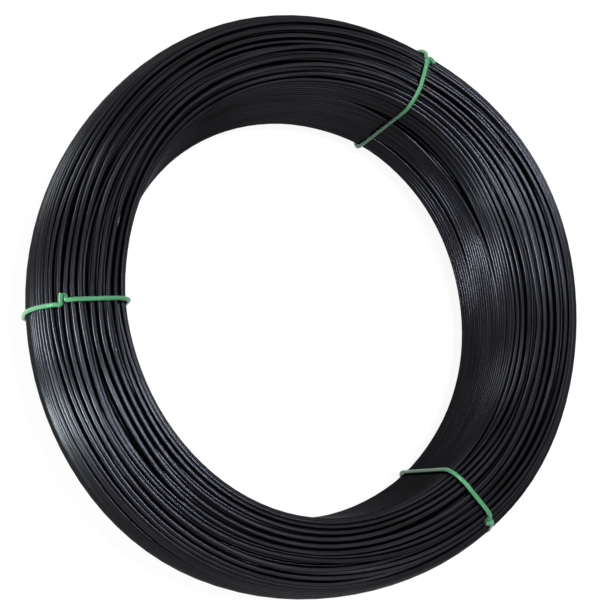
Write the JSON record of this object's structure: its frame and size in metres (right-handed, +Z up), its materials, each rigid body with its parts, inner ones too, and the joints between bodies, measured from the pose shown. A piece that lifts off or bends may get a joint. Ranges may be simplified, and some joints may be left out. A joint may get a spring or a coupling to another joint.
{
  "type": "coil of binding wire",
  "caption": "Coil of near-black steel binding wire wound into a flat ring and held by twisted green coated tie wires.",
  "frame": {"origin": "on the coil's axis, at the level of the floor that the coil lies on, under its ties", "axes": "+Z up along the coil's axis; seen from above with +X to the right, the first tie lies to the upper right"},
  "size_m": [0.2759, 0.2852, 0.0848],
  "materials": {
    "dark_wire": "near-black satin skin on drawn and annealed steel wire",
    "green_coating": "smooth green plastic coating on soft wire"
  },
  "bodies": {
    "root": {"wire_coil": "dark_wire", "tie_left": "green_coating", "tie_upper_right": "green_coating", "tie_lower_right": "green_coating"}
  },
  "joints": []
}
